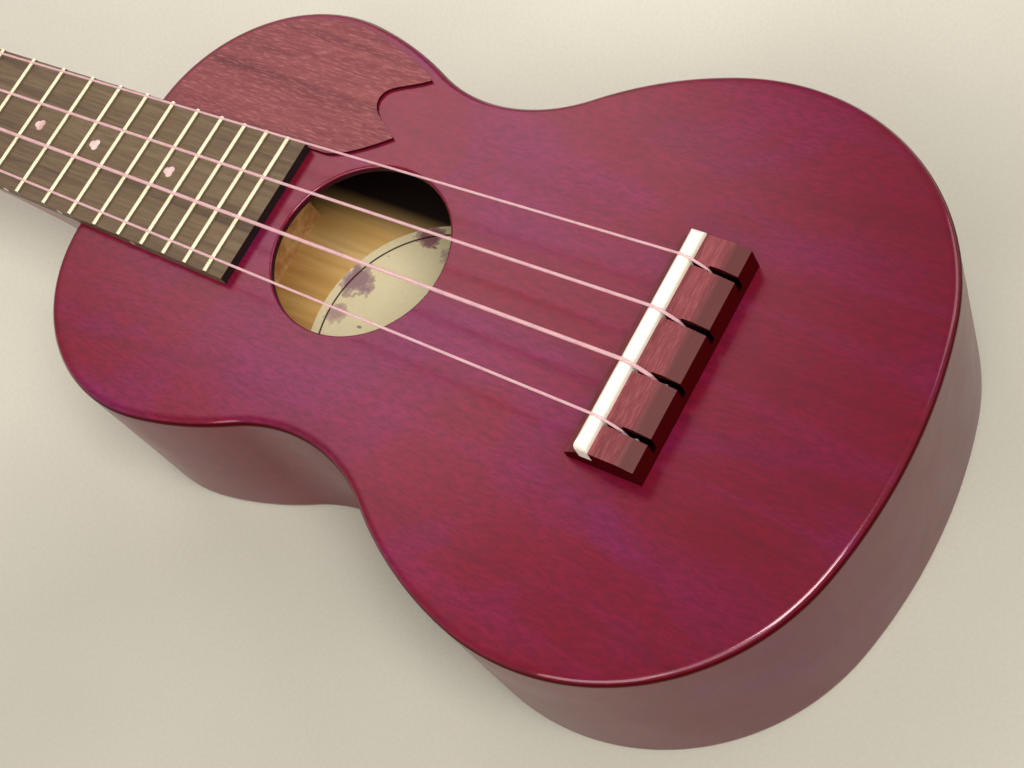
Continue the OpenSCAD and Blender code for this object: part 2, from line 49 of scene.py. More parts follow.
# ---- Sizes, repeated from the part's source or read from the frame ----
SCALE = 348.0
SADDLE_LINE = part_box("nut")[0].y / MM - SCALE
BODY_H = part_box("soundboard")[1].z / MM
PLATE_T = 2.0
SIDE_T = 2.0
HOLE_Y = 86.9
HOLE_R = 24.6
BOARD_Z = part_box("fretboard")[1].z / MM
NUT_BACK = SCALE + 5.0
HEAD_TILT = math.radians(10.0)


def at(x, y, z):
    """A point of the instrument's frame as a Blender position."""
    return Vector((x, y + SADDLE_LINE, z)) * MM


def on_head(u, v, w):
    """A point of the headstock's frame: u across, v along from the nut, w out of its face."""
    c, s = math.cos(HEAD_TILT), math.sin(HEAD_TILT)
    return at(u, NUT_BACK + v * c + w * s, BODY_H - v * s + w * c)


# ---- Camera ----
CAM_AT = at(-121.48, -160.25, BODY_H + 338.92)
CAM_TARGET = at(-19.02, 29.87, BODY_H)
CAM_ROLL = math.radians(-36.01)
CAM_LENS = 60.07
CAM_SHIFT = (0.0039, 0.0005)
SENSOR_W = 36.0
CLIP_START = 0.01


def make_camera():
    data = bpy.data.cameras.new("camera")
    data.lens = CAM_LENS
    data.sensor_width = SENSOR_W
    data.shift_x, data.shift_y = CAM_SHIFT
    data.clip_start = CLIP_START
    cam = bpy.data.objects.new("camera", data)
    bpy.context.scene.collection.objects.link(cam)
    look = (CAM_TARGET - CAM_AT).to_track_quat("-Z", "Y").to_matrix().to_4x4()
    cam.matrix_world = Matrix.Translation(CAM_AT) @ look @ Matrix.Rotation(CAM_ROLL, 4, "Z")
    bpy.context.scene.camera = cam


# ---- Materials ----
class Shader:
    """A node material, with short calls for the nodes used here."""

    def __init__(self, name, roughness=0.5, metallic=0.0, specular=0.5, coat=0.0,
                 coat_roughness=0.1):
        self.material = bpy.data.materials.new(name)
        self.material.use_nodes = True
        self.tree = self.material.node_tree
        self.bsdf = self.tree.nodes["Principled BSDF"]
        self.set("Roughness", roughness)
        self.set("Metallic", metallic)
        self.set("Specular IOR Level", specular)
        self.set("Coat Weight", coat)
        self.set("Coat Roughness", coat_roughness)
        self.place = self.node("ShaderNodeTexCoord").outputs["Object"]

    def set(self, socket, value):
        self.bsdf.inputs[socket].default_value = value

    def feed(self, socket, output):
        self.tree.links.new(output, self.bsdf.inputs[socket])

    def node(self, kind, **inputs):
        node = self.tree.nodes.new(kind)
        for key, value in inputs.items():
            self.put(node, key.replace("_", " "), value)
        return node

    def put(self, node, key, value):
        socket = node.inputs[key]
        if isinstance(value, bpy.types.NodeSocket):
            self.tree.links.new(value, socket)
        else:
            socket.default_value = value

    def mapped(self, scale, turn=(0, 0, 0), move=(0, 0, 0)):
        """Object coordinates in metres, turned and then scaled."""
        node = self.node("ShaderNodeMapping", Vector=self.place)
        node.inputs["Scale"].default_value = scale
        node.inputs["Rotation"].default_value = turn
        node.inputs["Location"].default_value = move
        return node.outputs["Vector"]

    def noise(self, vector, scale, detail=4.0, rough=0.55, distortion=0.0):
        node = self.node("ShaderNodeTexNoise", Vector=vector, Scale=scale, Detail=detail,
                         Roughness=rough, Distortion=distortion)
        return node.outputs["Fac"]

    def voronoi(self, vector, scale):
        return self.node("ShaderNodeTexVoronoi", Vector=vector, Scale=scale).outputs["Distance"]

    def wave(self, vector, scale, distortion, detail=2.0, detail_scale=1.0):
        node = self.node("ShaderNodeTexWave", Vector=vector, Scale=scale, Distortion=distortion,
                         Detail=detail, Detail_Scale=detail_scale)
        node.bands_direction = "X"
        return node.outputs["Fac"]

    def stops(self, fac, *stops):
        """A colour ramp from (position, colour) pairs."""
        node = self.node("ShaderNodeValToRGB", Fac=fac)
        ramp = node.color_ramp
        while len(ramp.elements) < len(stops):
            ramp.elements.new(0.5)
        for element, (position, colour) in zip(ramp.elements, stops):
            element.position = position
            element.color = (*colour, 1.0)
        return node.outputs["Color"]

    def grey(self, fac, *stops):
        """A ramp between grey levels, from (position, level) pairs."""
        return self.stops(fac, *[(p, (v, v, v)) for p, v in stops])

    def mix(self, fac, a, b, blend="MIX"):
        node = self.tree.nodes.new("ShaderNodeMix")
        node.data_type = "RGBA"
        node.blend_type = blend
        for index, value in ((0, fac), (6, a), (7, b)):
            if isinstance(value, bpy.types.NodeSocket):
                self.tree.links.new(value, node.inputs[index])
            elif index == 0:
                node.inputs[index].default_value = value
            else:
                node.inputs[index].default_value = (*value, 1.0)
        return node.outputs[2]

    def math(self, operation, a, b=0.0, clamp=False):
        node = self.tree.nodes.new("ShaderNodeMath")
        node.operation = operation
        node.use_clamp = clamp
        for index, value in enumerate((a, b)):
            if isinstance(value, bpy.types.NodeSocket):
                self.tree.links.new(value, node.inputs[index])
            else:
                node.inputs[index].default_value = value
        return node.outputs[0]

    def axis(self, name, vector=None):
        """One coordinate of a vector, or else of the object's place in metres."""
        split = self.node("ShaderNodeSeparateXYZ", Vector=vector or self.place)
        return split.outputs[name]

    def facing(self, name):
        """How far the surface's normal leans along one axis, from 0 to 1."""
        normal = self.node("ShaderNodeTexCoord").outputs["Normal"]
        return self.math("ABSOLUTE", self.axis(name, normal))

    def bump(self, height, strength, distance):
        node = self.node("ShaderNodeBump", Strength=strength, Distance=distance, Height=height)
        self.feed("Normal", node.outputs["Normal"])


def srgb(r, g, b):
    """An 8-bit display colour as linear values."""
    def linear(v):
        v /= 255
        return v / 12.92 if v <= 0.04045 else ((v + 0.055) / 1.055) ** 2.4
    return (linear(r), linear(g), linear(b))


# The stained wood's growth lines are turned this far from the strings
GRAIN_SLANT = math.radians(24)
# Heights as parts of the body's depth: the painted dark band under the rounded edge, a painted
# reflection of dark surroundings, and its bright lip
PAINTED_RIM_SHADE = ((0.956, 0.0), (0.962, 1.0), (0.984, 1.0), (0.990, 0.0))
LIP_BAND = ((0.986, 0.0), (0.992, 1.0), (0.9990, 1.0), (0.9998, 0.0))
TOP_SPECULAR, RIM_SHADE_SPECULAR = 0.45, 0.03
LIP_ROUGH, LIP_FILM = 0.12, 0.05
# Painted shade and light: the stain is painted darker at the tail and lighter over this stretch,
# in millimetres
PAINTED_FALLOFF_FROM, PAINTED_FALLOFF_SPAN = -50, 85
PAINTED_FALLOFF_LEVELS = ((0.0, 0.86), (1.0, 1.14))


def stained_wood(name, edge_line=True, coat=0.45, depth=1.0):
    """Hardwood under a translucent magenta-burgundy stain: cloudy purple and brick patches, dark
    curved growth lines and fine grain under a satin lacquer, painted darker towards the tail and
    lighter towards the neck as painted shade and light. edge_line adds the rounded edge's bright
    lip and a painted dark band under it, a painted reflection of dark surroundings, and a depth
    below 1 darkens the whole stain as painted shade."""
    s = Shader(name, roughness=0.30, specular=TOP_SPECULAR, coat=coat, coat_roughness=0.12)
    s.set("Specular Tint", (1.0, 0.30, 0.36, 1.0))
    slant = (0, 0, GRAIN_SLANT)
    clouds = s.noise(s.mapped((1, 0.5, 1), turn=slant), 26, 3, 0.6, 0.8)
    colour = s.stops(clouds, (0.34, srgb(107, 8, 27)), (0.50, srgb(109, 11, 40)),
                     (0.66, srgb(107, 16, 66)))
    bricks = s.noise(s.mapped((1, 0.35, 1), turn=slant, move=(3.1, 1.7, 0)), 15, 3, 0.55, 0.6)
    colour = s.mix(s.grey(bricks, (0.50, 0.0), (0.68, 0.6)), colour, srgb(104, 14, 22))
    rings = s.wave(s.mapped((1, 0.16, 1), turn=slant), 15, 9.0, 3.0, 1.2)
    colour = s.mix(s.grey(rings, (0.0, 0.24), (0.05, 0.0)), colour, srgb(76, 6, 18))
    colour = s.mix(s.grey(rings, (0.86, 0.0), (1.0, 0.16)), colour, srgb(122, 26, 80))
    # Painted shade and light: darker at the tail, lighter towards the neck
    start = s.math("SUBTRACT", s.axis("Y"), (SADDLE_LINE + PAINTED_FALLOFF_FROM) * MM)
    along = s.math("DIVIDE", start, PAINTED_FALLOFF_SPAN * MM, clamp=True)
    colour = s.mix(1.0, colour, s.grey(along, *PAINTED_FALLOFF_LEVELS), "MULTIPLY")
    bands = s.noise(s.mapped((1, 0.13, 1), turn=slant), 420, 4, 0.65, 0.3)
    colour = s.mix(s.grey(bands, (0.42, 0.0), (0.70, 0.30)), colour, srgb(78, 6, 26))
    fine = s.noise(s.mapped((1, 0.30, 1), turn=slant, move=(0.4, 0.2, 0)), 1000, 3, 0.7)
    colour = s.mix(s.grey(fine, (0.40, 0.0), (0.62, 0.55)), colour, srgb(72, 8, 30))
    if edge_line:
        height = s.math("MULTIPLY", s.axis("Z"), 1 / (BODY_H * MM))
        # Painted reflection: the rim band is painted dark red, and its specular and coat are
        # turned down
        rim = s.grey(height, *PAINTED_RIM_SHADE)
        colour = s.mix(rim, colour, srgb(64, 0, 4))
        s.feed("Specular IOR Level", s.grey(rim, (0.0, TOP_SPECULAR), (1.0, RIM_SHADE_SPECULAR)))
        lip = s.grey(height, *LIP_BAND)
        off_rim_shade = s.grey(rim, (0.0, 1.0), (1.0, 0.0))
        s.feed("Coat Weight", s.math("MULTIPLY", off_rim_shade, s.grey(lip, (0.0, coat), (1.0, 1.0))))
    s.feed("Base Color", s.mix(1.0, colour, (depth, depth, depth), "MULTIPLY"))
    satin = s.grey(s.noise(s.mapped((1, 0.5, 1)), 60, 4), (0.3, 0.30), (0.7, 0.36))
    film = s.grey(s.noise(s.mapped((1, 0.7, 1)), 24, 3), (0.3, 0.20), (0.7, 0.26))
    if edge_line:
        satin = s.mix(lip, satin, (LIP_ROUGH,) * 3)
        film = s.mix(lip, film, (LIP_FILM,) * 3)
    s.feed("Roughness", satin)
    s.feed("Coat Roughness", film)
    s.bump(s.noise(s.mapped((1, 0.12, 1)), 520, 4, 0.6), 0.035, 0.0001)
    return s.material


WOOD_SPECULAR, UPRIGHT_SPECULAR = 0.35, 0.04
# How level a face is (the height of its normal) between upright and not
UPRIGHT_TILT, LEVEL_TILT = 0.35, 0.75
# A slot's floor and walls have normals that lean less than this along the strings
SLOT_LEAN = 0.75


def plain_wood(name, base, dark, light, along="Y", rough=0.6, pore=0.5, coat=0.0, figure=60.0,
               relief=0.25, turn=0.0, fleck=None, shade=None, upright=None, end=None, recess_shade=None):
    """Bare or oiled wood: growth bands, streaks and open pores that run along one axis, turned by
    turn degrees in the plane. fleck adds short dashes of a colour. shade paints shade on the wood,
    from one place on an axis to another, in millimetres. upright paints shade on the faces that
    stand upright, tinting and dulling them, and end tints the faces square to the strings, for
    their darker end grain and painted shade. deep, which goes with upright, paints shade on what
    lies below a height, behind a y and within half a width, such as the floor of a slot."""
    s = Shader(name, roughness=rough, specular=WOOD_SPECULAR, coat=coat, coat_roughness=0.25)
    stretch = {"X": (0.05, 1, 1), "Y": (1, 0.05, 1)}[along]
    spin = (0, 0, math.radians(turn))
    bands = s.noise(s.mapped(stretch, turn=spin), figure * 3.2, 4, 0.6, 0.5)
    colour = s.stops(bands, (0.28, dark), (0.50, base), (0.74, light))
    streaks = s.noise(s.mapped(stretch, turn=spin, move=(0.7, 0.3, 0.1)), figure * 13, 5, 0.65)
    colour = s.mix(s.grey(streaks, (0.42, 0.0), (0.68, pore)), colour, dark)
    if fleck:
        dash = tuple(v * 2.4 if v < 1 else v for v in stretch)
        dashes = s.noise(s.mapped(dash, turn=spin, move=(0.2, 0.9, 0.4)), figure * 34, 3, 0.6)
        colour = s.mix(s.grey(dashes, (0.50, 0.0), (0.68, 0.5)), colour, fleck)
    # Painted shade, from one place on an axis to another
    if shade:
        way, full, clear, tint = shade
        beyond = s.math("SUBTRACT", s.axis(way), full * MM)
        place = s.math("DIVIDE", beyond, (clear - full) * MM, clamp=True)
        colour = s.mix(s.grey(place, (0.0, 1.0), (1.0, 0.0)), colour, tint)
    # Painted shade on the faces that stand upright, tinted and dulled
    if upright:
        tilt = s.facing("Z")
        colour = s.mix(s.grey(tilt, (UPRIGHT_TILT, 1.0), (LEVEL_TILT, 0.0)), colour, upright)
        gloss = s.grey(tilt, (UPRIGHT_TILT, UPRIGHT_SPECULAR), (LEVEL_TILT, WOOD_SPECULAR))
        s.feed("Specular IOR Level", gloss)
    # Darker end grain and painted shade on the faces square to the strings
    if end:
        colour = s.mix(s.grey(s.facing("Y"), (0.6, 0.0), (0.9, 1.0)), colour, end)
    # Painted shade in recesses, such as the floor of a slot
    if recess_shade:
        top, front, half, tint = recess_shade
        low = s.math("LESS_THAN", s.axis("Z"), top * MM)
        behind = s.math("LESS_THAN", s.axis("Y"), front * MM)
        in_slot = s.math("LESS_THAN", s.facing("Y"), SLOT_LEAN)
        between = s.math("LESS_THAN", s.math("ABSOLUTE", s.axis("X")), half * MM)
        recess_shade_mask = s.math("MULTIPLY", low, behind)
        recess_shade_mask = s.math("MULTIPLY", recess_shade_mask, s.math("MULTIPLY", in_slot, between))
        colour = s.mix(recess_shade_mask, colour, tint)
        s.feed("Specular IOR Level", s.mix(recess_shade_mask, gloss, (0.0, 0.0, 0.0)))
    s.feed("Base Color", colour)
    s.feed("Roughness", s.grey(streaks, (0.3, rough * 0.85), (0.7, min(1.0, rough * 1.2))))
    s.bump(streaks, relief, 0.0002)
    return s.material


def end_grain(name, base, dark):
    """Sawn end grain: blotchy, with dark pores."""
    s = Shader(name, roughness=0.8, specular=0.2)
    blotch = s.noise(s.place, 260, 5, 0.6)
    colour = s.stops(blotch, (0.35, dark), (0.6, base))
    pores = s.voronoi(s.place, 1400)
    colour = s.mix(s.grey(pores, (0.10, 0.7), (0.35, 0.0)), colour, dark)
    s.feed("Base Color", colour)
    s.bump(pores, 0.4, 0.0004)
    return s.material


def ivory(name, base, shade):
    """Bone or plastic: faintly mottled, and light passes a little way into it."""
    s = Shader(name, roughness=0.35, specular=0.5, coat=0.2)
    s.set("Subsurface Weight", 0.25)
    s.set("Subsurface Scale", 0.002)
    s.set("Subsurface Radius", (1.0, 0.8, 0.5))
    mottled = s.noise(s.mapped((0.2, 1, 1)), 420, 3, 0.5)
    s.feed("Base Color", s.stops(mottled, (0.35, shade), (0.65, base)))
    s.feed("Roughness", s.grey(s.noise(s.place, 900, 3), (0.3, 0.30), (0.7, 0.42)))
    return s.material


def metal(name, base, rough, metallic=1.0, marks=0.08, flank_shade=None):
    """Plated metal with fine polishing marks and slight smudges. flank paints the faces that slope
    away from level a duller colour, as painted shade and a painted reflection of what is beside
    them."""
    s = Shader(name, roughness=rough, metallic=metallic)
    lines = s.noise(s.mapped((0.04, 1, 1)), 3000, 3, 0.5)
    smudge = s.noise(s.place, 180, 3, 0.5)
    colour = s.mix(s.grey(smudge, (0.4, 0.0), (0.7, 0.25)), base, tuple(v * 0.8 for v in base))
    if flank_shade:
        colour = s.mix(s.grey(s.facing("Z"), (0.58, 1.0), (0.84, 0.0)), colour, flank_shade)
    s.feed("Base Color", colour)
    s.feed("Roughness", s.grey(lines, (0.3, rough * 0.85), (0.7, rough * 1.2)))
    s.bump(lines, marks, 0.0001)
    return s.material


def pearl(name):
    """Pearloid plastic: soft cloudy cells under gloss."""
    s = Shader(name, roughness=0.18, specular=0.5, coat=0.6, coat_roughness=0.05)
    cells = s.voronoi(s.mapped((1, 1, 1.8)), 190)
    cloud = s.noise(s.place, 260, 3, 0.5, 1.2)
    colour = s.stops(cells, (0.1, srgb(246, 241, 228)), (0.6, srgb(214, 207, 196)))
    colour = s.mix(s.grey(cloud, (0.4, 0.0), (0.7, 0.5)), colour, srgb(236, 214, 216))
    s.feed("Base Color", colour)
    s.feed("Roughness", s.grey(cloud, (0.3, 0.14), (0.7, 0.24)))
    return s.material


def nylon(name):
    """Clear nylon line, slightly cloudy, that takes up some colour from behind it."""
    s = Shader(name, roughness=0.3, specular=0.5, coat=0.25)
    s.set("Alpha", 0.58)
    s.set("Subsurface Weight", 0.35)
    s.set("Subsurface Scale", 0.001)
    tint = s.noise(s.place, 300, 2, 0.5)
    s.feed("Base Color", s.stops(tint, (0.3, srgb(226, 180, 184)), (0.7, srgb(240, 196, 196))))
    s.feed("Roughness", s.grey(tint, (0.3, 0.26), (0.7, 0.36)))
    return s.material


# The label's centre line and radius, and soft washes on it: x, y from its middle, radius,
# strength and colour
LABEL_Y, LABEL_R = HOLE_Y + 2, 40
WASHES = [(9.8, 32.0, 9.0, 0.72, srgb(132, 58, 116)), (30.6, 17.0, 6.5, 0.85, srgb(142, 66, 92)),
          (26.5, 8.0, 5.5, 0.6, srgb(164, 100, 124)), (-2.0, 31.5, 6.0, 0.65, srgb(170, 112, 132)),
          (-22, -8, 9, 0.7, srgb(146, 78, 124)), (6, -30, 8, 0.6, srgb(150, 84, 104))]
RING_BAND = ((0.854, 0.0), (0.858, 1.0), (0.868, 1.0), (0.872, 0.0))


def label_paper(name):
    """Cream paper with a thin printed ring and a soft purple watercolour wash. No lettering."""
    s = Shader(name, roughness=0.75, specular=0.2)
    centre = at(0, LABEL_Y, 0)
    node = s.node("ShaderNodeVectorMath", Vector=s.place)
    node.operation = "SUBTRACT"
    node.inputs[1].default_value = (centre.x, centre.y, 0.0)
    local = node.outputs["Vector"]
    flat = s.node("ShaderNodeVectorMath", Vector=local)
    flat.operation = "MULTIPLY"
    flat.inputs[1].default_value = (1, 1, 0)
    length = s.node("ShaderNodeVectorMath", Vector=flat.outputs["Vector"])
    length.operation = "LENGTH"
    r = s.math("MULTIPLY", length.outputs["Value"], 1 / (LABEL_R * MM))
    fibre = s.noise(s.place, 1200, 4, 0.6)
    colour = s.stops(fibre, (0.3, srgb(252, 231, 182)), (0.7, srgb(255, 240, 196)))
    wobble = s.math("MULTIPLY", s.noise(s.place, 210, 4, 0.6), 1.1)
    for x, y, radius, strength, tint in WASHES:
        away = s.node("ShaderNodeVectorMath", Vector=flat.outputs["Vector"])
        away.operation = "DISTANCE"
        away.inputs[1].default_value = (x * MM, y * MM, 0.0)
        reach = s.math("MULTIPLY", away.outputs["Value"], 0.7 / (radius * MM))
        spread = s.math("ADD", reach, wobble)
        wash = s.grey(spread, (0.80, strength), (1.0, strength * 0.45), (1.12, 0.0))
        colour = s.mix(wash, colour, tint)
    flecks = s.voronoi(s.mapped((1.9, 1, 1), turn=(0, 0, 0.9)), 105)
    colour = s.mix(s.grey(flecks, (0.07, 0.7), (0.11, 0.0)), colour, srgb(118, 72, 70))
    colour = s.mix(s.grey(r, *RING_BAND), colour, srgb(48, 22, 20))
    s.feed("Base Color", colour)
    s.bump(fibre, 0.15, 0.0001)
    return s.material


MATERIALS = {
    "stain": stained_wood("stain"),
    # The sides: the top's stain darkened by depth, as painted shade
    "shaded_stain_side": stained_wood("shaded_stain_side", coat=0.2, depth=0.72),
    "stain_neck": stained_wood("stain_neck", edge_line=False, coat=0.3),
    # The soundhole's wall: stained wood painted near black, as painted shade
    "shaded_hole_wall": plain_wood("hole_wall_wood", srgb(52, 4, 12), srgb(32, 2, 6), srgb(66, 8, 18),
                            along="X", rough=0.5),
    "raw": plain_wood("raw_wood", srgb(222, 172, 100), srgb(178, 126, 62), srgb(238, 196, 128),
                      rough=0.7, pore=0.35, figure=26),
    # The back's inside: raw wood painted lighter, as painted light, with a painted shadow towards
    # the treble side
    "back_inside": plain_wood("raw_wood_back_light_and_shade", srgb(232, 182, 106), srgb(188, 134, 66),
                              srgb(244, 204, 134), rough=0.7, pore=0.35, figure=26,
                              shade=("X", 36.0, 27.0, srgb(34, 16, 8))),
    "raw_cross": plain_wood("raw_wood_cross", srgb(204, 166, 108), srgb(164, 122, 70),
                            srgb(226, 194, 140), along="X", rough=0.75, pore=0.3, figure=50),
    # Inside faces of the sides, top and linings: raw wood painted dark brown, as painted shade
    "shaded_raw_side": plain_wood("shaded_raw_wood_side", srgb(74, 50, 30), srgb(54, 34, 20), srgb(92, 64, 40),
                           rough=0.75, pore=0.35, figure=30),
    # End grain of the blocks: partly the wood's own light orange, partly painted light, lighter
    # than the wood for the light on the neck block's face
    "end": end_grain("end_grain", srgb(255, 216, 152), srgb(228, 164, 100)),
    # The guard's upright edges are painted dark, as painted shade
    "guard": plain_wood("guard_wood", srgb(122, 53, 54), srgb(88, 31, 35), srgb(141, 70, 67),
                        rough=0.5, pore=0.45, coat=0.1, figure=62, turn=9.7,
                        fleck=srgb(176, 108, 104), upright=srgb(60, 4, 14)),
    # The board's end faces are near black: darker end grain and painted shade
    "board": plain_wood("board_wood", srgb(109, 90, 66), srgb(76, 61, 46), srgb(122, 104, 78),
                        pore=0.55, figure=100, relief=0.3, fleck=srgb(104, 72, 58),
                        end=srgb(22, 12, 12)),
    # The bridge's rear slope, upright faces and slot floors are painted dark, as painted shade
    "bridge": plain_wood("bridge_wood", srgb(124, 53, 57), srgb(88, 31, 36), srgb(141, 70, 71),
                         along="X", rough=0.5, figure=70, relief=0.3, fleck=srgb(158, 90, 88),
                         shade=("Y", SADDLE_LINE - 9.0, SADDLE_LINE - 6.6, srgb(84, 33, 30)),
                         upright=srgb(62, 1, 2),
                         recess_shade=(BODY_H + 6.2, SADDLE_LINE - 4.0, 24.0, srgb(18, 2, 4))),
    "dark": plain_wood("dark_wood", srgb(74, 50, 40), srgb(40, 26, 20), srgb(102, 74, 60),
                       rough=0.45, pore=0.6, coat=0.2),
    "ivory": ivory("ivory", srgb(255, 252, 236), srgb(250, 242, 218)),
    "marker": ivory("marker", srgb(228, 204, 194), srgb(204, 158, 148)),
    # The frets' sloping flanks are painted darker: painted shade and a painted reflection of the
    # board
    "fret": metal("fret_metal", srgb(255, 243, 202), 0.42, metallic=0.5, marks=0.03,
                  flank_shade=srgb(120, 104, 82)),
    "chrome": metal("chrome", srgb(214, 214, 218), 0.16),
    "brass": metal("brass", srgb(206, 172, 104), 0.25),
    "pearl": pearl("pearl"),
    "nylon": nylon("nylon"),
    "label": label_paper("label_paper"),
}

# ---- Mesh helpers ----
SMOOTH_ANGLE = math.radians(38)


def piece(name, mesh, materials, replaces, body="instrument"):
    """A Blender piece that rides on a body in place of CAD nodes."""
    obj = bpy.data.objects.new(name, mesh)
    bpy.context.scene.collection.objects.link(obj)
    for key in materials:
        mesh.materials.append(MATERIALS[key])
    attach(obj, body)
    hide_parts(*replaces)


def finished(bm, name):
    """A bmesh as a mesh with outward normals, smooth except across sharp edges."""
    bmesh.ops.recalc_face_normals(bm, faces=bm.faces)
    for face in bm.faces:
        face.smooth = True
    mesh = bpy.data.meshes.new(name)
    bm.to_mesh(mesh)
    bm.free()
    mesh.set_sharp_from_angle(angle=SMOOTH_ANGLE)
    return mesh


def add_rings(bm, rings, band_material=None, close_rings=False, wrap=True):
    """Joins rings of equal length with quads, and then the last ring to the first or both ends
    with a cap. band_material gives each band's material index."""
    verts = [[bm.verts.new(p) for p in ring] for ring in rings]
    count = len(rings[0])
    pairs = list(zip(verts, verts[1:]))
    if close_rings:
        pairs.append((verts[-1], verts[0]))
    for band, (lower, upper) in enumerate(pairs):
        for j in range(count if wrap else count - 1):
            k = (j + 1) % count
            face = bm.faces.new((lower[j], lower[k], upper[k], upper[j]))
            face.material_index = band_material[band] if band_material else 0
    if not close_rings:
        for end, loop in ((0, reversed(verts[0])), (-1, verts[-1])):
            face = bm.faces.new(list(loop))
            face.material_index = band_material[end] if band_material else 0
    return verts


# ---- Body outline: six tangent arcs on each side ----
TAIL_R, TAIL_A, TAIL_CY = 136.6, 13.6, 72.9
LOWER_R, LOWER_A = 61.3, 14.4
SHOULDER_R, SHOULDER_A = 92.6, 38.7
WAIST_R = 41.3
FLANK_R, FLANK_A = 98.5, -25.7
UPPER_R, UPPER_A = 44.7, -8.7
# Segments that each arc is drawn with, and the straight end at the neck
TAIL_N, LOWER_N, SHOULDER_N, WAIST_N, FLANK_N, UPPER_N, END_N = 12, 50, 16, 34, 14, 44, 6


def turn(degrees):
    a = math.radians(degrees)
    return Vector((math.cos(a), math.sin(a)))


TAIL_C = Vector((0, TAIL_CY))
LOWER_C = TAIL_C + (TAIL_R - LOWER_R) * turn(TAIL_A - 90)
SHOULDER_C = LOWER_C + (LOWER_R - SHOULDER_R) * turn(LOWER_A)
WAIST_C = SHOULDER_C + (SHOULDER_R + WAIST_R) * turn(SHOULDER_A)
FLANK_C = WAIST_C - (WAIST_R + FLANK_R) * turn(FLANK_A)
UPPER_C = FLANK_C + (FLANK_R - UPPER_R) * turn(UPPER_A)
TOP_Y = UPPER_C.y + UPPER_R


def arc(centre, radius, start, end, steps):
    return [centre + radius * turn(start + (end - start) * i / steps) for i in range(steps + 1)]


def half_outline(inset=0.0):
    """The treble half of the body's edge, from tail to neck, moved inwards."""
    points = arc(TAIL_C, TAIL_R - inset, -90, TAIL_A - 90, TAIL_N)
    points += arc(LOWER_C, LOWER_R - inset, TAIL_A - 90, LOWER_A, LOWER_N)[1:]
    points += arc(SHOULDER_C, SHOULDER_R - inset, LOWER_A, SHOULDER_A, SHOULDER_N)[1:]
    points += arc(WAIST_C, WAIST_R + inset, SHOULDER_A + 180, FLANK_A + 180, WAIST_N)[1:]
    points += arc(FLANK_C, FLANK_R - inset, FLANK_A, UPPER_A, FLANK_N)[1:]
    points += arc(UPPER_C, UPPER_R - inset, UPPER_A, 90, UPPER_N)[1:]
    corner_x = points[-1].x
    points += [Vector((corner_x * (1 - i / END_N), TOP_Y - inset)) for i in range(1, END_N + 1)]
    return points


def outline(inset=0.0):
    half = half_outline(inset)
    return half + [Vector((-p.x, p.y)) for p in reversed(half[1:-1])]


def level(points, z):
    return [at(p.x, p.y, z) for p in points]


def hole_ring(radius, z):
    """A ring round the soundhole with one point towards each point of the outline."""
    centre = Vector((0, HOLE_Y))
    return [at(*(centre + radius * (p - centre).normalized()), z) for p in outline()]


def round_over(radius, steps):
    """(inset, drop) pairs from the wall up over a rounded edge."""
    angles = [math.pi / 2 * i / steps for i in range(steps + 1)]
    return [(radius * (1 - math.cos(a)), radius * (1 - math.sin(a))) for a in angles]


EDGE_R, EDGE_N = 1.8, 8
BACK_EDGE_R, BACK_EDGE_N = 1.4, 6
HOLE_EDGE_R, HOLE_EDGE_N = 0.65, 4
# Rings on the flat faces, inwards from a rounded edge, which keep the edge's shading off them
NEAR_RING, FAR_RING = 0.8, 4
HOLE_NEAR_RING, HOLE_FAR_RING = 0.5, 3
WALL_BANDS = 4


def make_soundboard():
    z0, z1 = BODY_H - PLATE_T, BODY_H
    rings = [hole_ring(HOLE_R, z0), level(outline(0), z0)]
    rings += [level(outline(inset), z1 - drop) for inset, drop in round_over(EDGE_R, EDGE_N)]
    rings += [level(outline(EDGE_R + inset), z1) for inset in (NEAR_RING, FAR_RING)]
    rings += [hole_ring(HOLE_R + HOLE_FAR_RING, z1)]
    rings += [hole_ring(HOLE_R + HOLE_EDGE_R + HOLE_NEAR_RING, z1)]
    rim = reversed(round_over(HOLE_EDGE_R, HOLE_EDGE_N))
    rings += [hole_ring(HOLE_R + inset, z1 - drop) for inset, drop in rim]
    bands = [1] + [0] * (len(rings) - 2) + [2]
    bm = bmesh.new()
    add_rings(bm, rings, bands, close_rings=True)
    piece("soundboard_plate", finished(bm, "soundboard_plate"), ["stain", "shaded_raw_side", "shaded_hole_wall"],
          replaces=["soundboard"])


def make_back():
    edge = reversed(round_over(BACK_EDGE_R, BACK_EDGE_N))
    rings = [level(outline(BACK_EDGE_R + inset), 0) for inset in (FAR_RING, NEAR_RING)]
    rings += [level(outline(inset), drop) for inset, drop in edge]
    rings += [level(outline(0), PLATE_T), level(outline(SIDE_T), PLATE_T)]
    bands = [0] * (len(rings) - 2) + [1]
    bm = bmesh.new()
    add_rings(bm, rings, bands)
    piece("back_plate", finished(bm, "back_plate"), ["stain", "back_inside"], replaces=["back"])


def make_side(side, node):
    """One bent side: stained outside, bare wood inside."""
    z0, z1 = PLATE_T, BODY_H - PLATE_T
    outer = [Vector((p.x * side, p.y)) for p in half_outline(0)]
    inner = [Vector((p.x * side, p.y)) for p in half_outline(SIDE_T)]
    heights = [z0 + (z1 - z0) * i / WALL_BANDS for i in range(WALL_BANDS + 1)]
    rings = [level(outer, z) for z in heights] + [level(inner, z) for z in reversed(heights)]
    bands = [0] * WALL_BANDS + [1] * (WALL_BANDS + 2)
    bm = bmesh.new()
    verts = add_rings(bm, rings, bands, close_rings=True, wrap=False)
    for end in (0, -1):
        bm.faces.new([ring[end] for ring in verts])
    piece(node + "_rib", finished(bm, node + "_rib"), ["shaded_stain_side", "shaded_raw_side"], replaces=[node])


